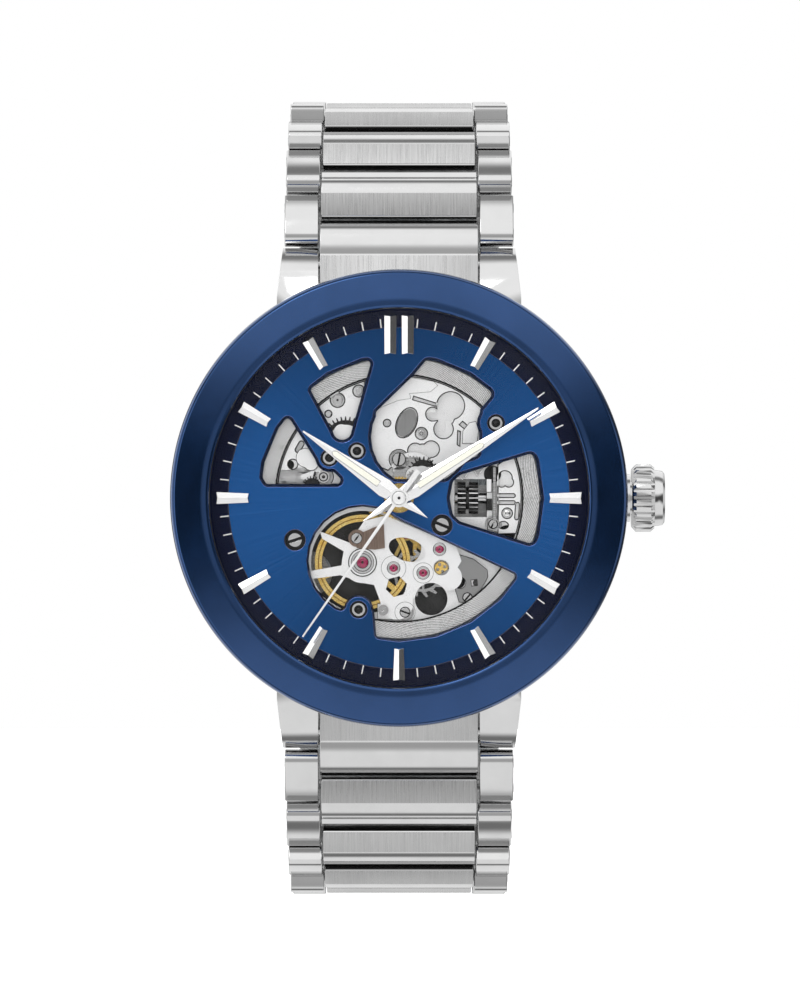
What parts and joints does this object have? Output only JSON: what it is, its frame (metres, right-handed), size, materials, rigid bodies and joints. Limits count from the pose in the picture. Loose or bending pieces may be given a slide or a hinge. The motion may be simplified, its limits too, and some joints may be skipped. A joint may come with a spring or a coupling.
{
  "type": "skeleton wristwatch",
  "caption": "Automatic wristwatch with an open-worked blue dial, blue bezel, steel case, winding crown and a three-piece steel link bracelet with folding clasp.",
  "frame": {"origin": "on the hand axis, on the outer face of the glass in the case back", "axes": "dial faces -Y, twelve o'clock is +Z, the crown at three o'clock is +X, the wrist passes along X behind the back at +Y"},
  "size_m": [0.0455, 0.0367, 0.0748],
  "materials": {
    "case_steel": "brushed and polished",
    "band_steel": "brushed with polished facets",
    "blue_steel": "gloss blue coating",
    "glass": "clear",
    "rubber": "satin",
    "dial_blue": "sunray metallic",
    "ring_navy": "engraved satin",
    "polished": "polished",
    "plate_silver": "rhodium grain",
    "gilt": "gilt",
    "wheel_steel": "circular grain",
    "ruby": "polished synthetic ruby",
    "spring_blue": "tempered",
    "rotor_steel": "striped"
  },
  "bodies": {
    "case": {"case_middle": "case_steel", "bezel": "blue_steel", "crystal": "glass", "gaskets": "rubber", "dial": "dial_blue", "chapter_ring": "ring_navy", "hour_markers": "polished", "main_plate": "plate_silver", "front_bridge": "plate_silver", "rear_bridge": "plate_silver", "hairspring": "spring_blue", "jewels": "ruby", "movement_screws": "polished", "case_back": "case_steel", "back_crystal": "glass", "end_links": "band_steel"},
    "minute": {"minute_hand": "polished", "centre_wheel": "gilt"},
    "hour": {"hour_hand": "polished", "hour_wheel": "gilt"},
    "second": {"second_hand": "polished"},
    "minute_wheel": {"minute_wheel": "wheel_steel"},
    "third_wheel": {"third_wheel": "gilt"},
    "fourth_wheel": {"fourth_wheel": "gilt"},
    "escape_wheel": {"escape_wheel": "wheel_steel"},
    "barrel": {"barrel": "gilt", "mainspring": "spring_blue"},
    "pallet_fork": {"pallet_fork": "wheel_steel"},
    "balance": {"balance_wheel": "gilt"},
    "rotor": {"rotor": "rotor_steel"},
    "reversing_wheel": {"reversing_wheel": "wheel_steel"},
    "stem": {"winding_stem": "wheel_steel"},
    "crown": {"crown": "case_steel"},
    "winding_pinions": {"winding_pinions": "wheel_steel"},
    "crown_wheel": {"crown_wheel": "wheel_steel"},
    "ratchet_wheel": {"ratchet_wheel": "wheel_steel"},
    "click": {"click": "wheel_steel"},
    "upper_link_1": {"upper_link_1": "band_steel"},
    "upper_link_2": {"upper_link_2": "band_steel"},
    "upper_link_3": {"upper_link_3": "band_steel"},
    "upper_link_4": {"upper_link_4": "band_steel"},
    "upper_link_5": {"upper_link_5": "band_steel"},
    "upper_link_6": {"upper_link_6": "band_steel"},
    "upper_link_7": {"upper_link_7": "band_steel"},
    "upper_link_8": {"upper_link_8": "band_steel"},
    "upper_link_9": {"upper_link_9": "band_steel"},
    "lower_link_1": {"lower_link_1": "band_steel"},
    "lower_link_2": {"lower_link_2": "band_steel"},
    "lower_link_3": {"lower_link_3": "band_steel"},
    "lower_link_4": {"lower_link_4": "band_steel"},
    "lower_link_5": {"lower_link_5": "band_steel"},
    "lower_link_6": {"lower_link_6": "band_steel"},
    "lower_link_7": {"lower_link_7": "band_steel"},
    "lower_link_8": {"lower_link_8": "band_steel"},
    "lower_link_9": {"lower_link_9": "band_steel"},
    "clasp_cover": {"clasp_cover": "band_steel"},
    "clasp_inner_blade": {"clasp_inner_blade": "band_steel"},
    "clasp_outer_blade": {"clasp_outer_blade": "band_steel"},
    "clasp_button_left": {"clasp_button_left": "band_steel"},
    "clasp_button_right": {"clasp_button_right": "band_steel"}
  },
  "joints": [
    {"name": "minute_turn", "type": "hinge", "parent": "case", "child": "minute", "pos_m": [0, -0.00845, 0], "axis": [0, 1, 0], "continuous": true},
    {"name": "hour_turn", "type": "hinge", "parent": "case", "child": "hour", "pos_m": [0, -0.00845, 0], "axis": [0, 1, 0], "continuous": true},
    {"name": "second_turn", "type": "hinge", "parent": "case", "child": "second", "pos_m": [0, -0.00845, 0], "axis": [0, 1, 0], "continuous": true},
    {"name": "minute_wheel_turn", "type": "hinge", "parent": "case", "child": "minute_wheel", "pos_m": [0.00127, -0.00845, 0.00204], "axis": [0, 1, 0], "continuous": true},
    {"name": "third_wheel_turn", "type": "hinge", "parent": "case", "child": "third_wheel", "pos_m": [0.00062, -0.00845, -0.00334], "axis": [0, 1, 0], "continuous": true},
    {"name": "fourth_wheel_turn", "type": "hinge", "parent": "case", "child": "fourth_wheel", "pos_m": [0.00373, -0.00845, -0.00471], "axis": [0, 1, 0], "continuous": true},
    {"name": "escape_wheel_turn", "type": "hinge", "parent": "case", "child": "escape_wheel", "pos_m": [0.00222, -0.00845, -0.00689], "axis": [0, 1, 0], "continuous": true},
    {"name": "barrel_turn", "type": "hinge", "parent": "case", "child": "barrel", "pos_m": [-0.00101, -0.00845, 0.00574], "axis": [0, 1, 0], "continuous": true},
    {"name": "pallet_rock", "type": "hinge", "parent": "case", "child": "pallet_fork", "pos_m": [-0.0005, -0.00845, -0.00644], "axis": [0, 1, 0], "range_deg": [-6, 6]},
    {"name": "balance_swing", "type": "hinge", "parent": "case", "child": "balance", "pos_m": [-0.00336, -0.00845, -0.00592], "axis": [0, 1, 0], "range_deg": [-220, 220], "stiffness_Nm_per_rad": 0.0000004},
    {"name": "rotor_turn", "type": "hinge", "parent": "case", "child": "rotor", "pos_m": [0, -0.00845, 0], "axis": [0, 1, 0], "continuous": true},
    {"name": "reverser_turn", "type": "hinge", "parent": "case", "child": "reversing_wheel", "pos_m": [-0.0042, -0.00845, -0.0026], "axis": [0, 1, 0], "continuous": true},
    {"name": "crown_pull", "type": "slide", "parent": "case", "child": "stem", "axis": [1, 0, 0], "range_m": [0, 0.0009]},
    {"name": "crown_turn", "type": "hinge", "parent": "stem", "child": "crown", "pos_m": [0, -0.00515, 0], "axis": [1, 0, 0], "continuous": true},
    {"name": "winding_pinion_turn", "type": "hinge", "parent": "case", "child": "winding_pinions", "pos_m": [0, -0.00515, 0], "axis": [1, 0, 0], "continuous": true},
    {"name": "crown_wheel_turn", "type": "hinge", "parent": "case", "child": "crown_wheel", "pos_m": [0.0046, -0.00845, 0], "axis": [0, 1, 0], "continuous": true},
    {"name": "ratchet_turn", "type": "hinge", "parent": "case", "child": "ratchet_wheel", "pos_m": [-0.00101, -0.00845, 0.00574], "axis": [0, 1, 0], "continuous": true},
    {"name": "click_lift", "type": "hinge", "parent": "case", "child": "click", "pos_m": [-0.0083, -0.00845, 0.0036], "axis": [0, -1, 0], "range_deg": [0, 8]},
    {"name": "upper_link_1_bend", "type": "hinge", "parent": "case", "child": "upper_link_1", "pos_m": [0, -0.00385, 0.0245], "axis": [1, 0, 0], "range_deg": [0, 14]},
    {"name": "upper_link_2_bend", "type": "hinge", "parent": "upper_link_1", "child": "upper_link_2", "pos_m": [0, -0.00247, 0.02931], "axis": [1, 0, 0], "range_deg": [0, 19.25]},
    {"name": "upper_link_3_bend", "type": "hinge", "parent": "upper_link_2", "child": "upper_link_3", "pos_m": [0, 0.00061, 0.03325], "axis": [1, 0, 0], "range_deg": [0, 21]},
    {"name": "upper_link_4_bend", "type": "hinge", "parent": "upper_link_3", "child": "upper_link_4", "pos_m": [0, 0.00502, 0.03559], "axis": [1, 0, 0], "range_deg": [0, 21]},
    {"name": "upper_link_5_bend", "type": "hinge", "parent": "upper_link_4", "child": "upper_link_5", "pos_m": [0, 0.01001, 0.03594], "axis": [1, 0, 0], "range_deg": [0, 19.25]},
    {"name": "upper_link_6_bend", "type": "hinge", "parent": "upper_link_5", "child": "upper_link_6", "pos_m": [0, 0.01476, 0.0344], "axis": [1, 0, 0], "range_deg": [0, 16.62]},
    {"name": "upper_link_7_bend", "type": "hinge", "parent": "upper_link_6", "child": "upper_link_7", "pos_m": [0, 0.01876, 0.03139], "axis": [1, 0, 0], "range_deg": [0, 15.75]},
    {"name": "upper_link_8_bend", "type": "hinge", "parent": "upper_link_7", "child": "upper_link_8", "pos_m": [0, 0.02163, 0.02729], "axis": [1, 0, 0], "range_deg": [0, 14.88]},
    {"name": "upper_link_9_bend", "type": "hinge", "parent": "upper_link_8", "child": "upper_link_9", "pos_m": [0, 0.02317, 0.02254], "axis": [1, 0, 0], "range_deg": [0, 11.38]},
    {"name": "lower_link_1_bend", "type": "hinge", "parent": "case", "child": "lower_link_1", "pos_m": [0, -0.00385, -0.0245], "axis": [-1, 0, 0], "range_deg": [0, 14]},
    {"name": "lower_link_2_bend", "type": "hinge", "parent": "lower_link_1", "child": "lower_link_2", "pos_m": [0, -0.00247, -0.02931], "axis": [-1, 0, 0], "range_deg": [0, 19.25]},
    {"name": "lower_link_3_bend", "type": "hinge", "parent": "lower_link_2", "child": "lower_link_3", "pos_m": [0, 0.00061, -0.03325], "axis": [-1, 0, 0], "range_deg": [0, 21]},
    {"name": "lower_link_4_bend", "type": "hinge", "parent": "lower_link_3", "child": "lower_link_4", "pos_m": [0, 0.00502, -0.03559], "axis": [-1, 0, 0], "range_deg": [0, 21]},
    {"name": "lower_link_5_bend", "type": "hinge", "parent": "lower_link_4", "child": "lower_link_5", "pos_m": [0, 0.01001, -0.03594], "axis": [-1, 0, 0], "range_deg": [0, 19.25]},
    {"name": "lower_link_6_bend", "type": "hinge", "parent": "lower_link_5", "child": "lower_link_6", "pos_m": [0, 0.01476, -0.0344], "axis": [-1, 0, 0], "range_deg": [0, 16.62]},
    {"name": "lower_link_7_bend", "type": "hinge", "parent": "lower_link_6", "child": "lower_link_7", "pos_m": [0, 0.01876, -0.03139], "axis": [-1, 0, 0], "range_deg": [0, 15.75]},
    {"name": "lower_link_8_bend", "type": "hinge", "parent": "lower_link_7", "child": "lower_link_8", "pos_m": [0, 0.02163, -0.02729], "axis": [-1, 0, 0], "range_deg": [0, 14.88]},
    {"name": "lower_link_9_bend", "type": "hinge", "parent": "lower_link_8", "child": "lower_link_9", "pos_m": [0, 0.02317, -0.02254], "axis": [-1, 0, 0], "range_deg": [0, 11.38]},
    {"name": "clasp_cover_bend", "type": "hinge", "parent": "lower_link_9", "child": "clasp_cover", "pos_m": [0, 0.02361, -0.01756], "axis": [-1, 0, 0], "range_deg": [0, 4.38]},
    {"name": "clasp_open", "type": "hinge", "parent": "clasp_cover", "child": "clasp_inner_blade", "pos_m": [0, 0.02326, 0.0146], "axis": [-1, 0, 0], "range_deg": [0, 42]},
    {"name": "clasp_outer_fold", "type": "hinge", "parent": "clasp_inner_blade", "child": "clasp_outer_blade", "pos_m": [0, 0.02266, -0.0146], "axis": [1, 0, 0], "range_deg": [0, 42.01]},
    {"name": "clasp_button_left_press", "type": "slide", "parent": "clasp_cover", "child": "clasp_button_left", "axis": [1, 0, 0], "range_m": [0, 0.0005]},
    {"name": "clasp_button_right_press", "type": "slide", "parent": "clasp_cover", "child": "clasp_button_right", "axis": [-1, 0, 0], "range_m": [0, 0.0005]}
  ],
  "couplings": [
    {"joint": "hour_turn", "follows": "minute_turn", "ratio": 0.083333},
    {"joint": "second_turn", "follows": "minute_turn", "ratio": 60},
    {"joint": "minute_wheel_turn", "follows": "minute_turn", "ratio": -0.33333},
    {"joint": "third_wheel_turn", "follows": "minute_turn", "ratio": -8},
    {"joint": "fourth_wheel_turn", "follows": "minute_turn", "ratio": 60},
    {"joint": "escape_wheel_turn", "follows": "minute_turn", "ratio": -720},
    {"joint": "barrel_turn", "follows": "minute_turn", "ratio": -0.16667},
    {"joint": "reverser_turn", "follows": "rotor_turn", "ratio": -0.85714},
    {"joint": "winding_pinion_turn", "follows": "crown_turn", "ratio": 1},
    {"joint": "crown_wheel_turn", "follows": "crown_turn", "ratio": -0.76923},
    {"joint": "ratchet_turn", "follows": "crown_turn", "ratio": 0.37037},
    {"joint": "clasp_outer_fold", "follows": "clasp_open", "ratio": 1}
  ]
}
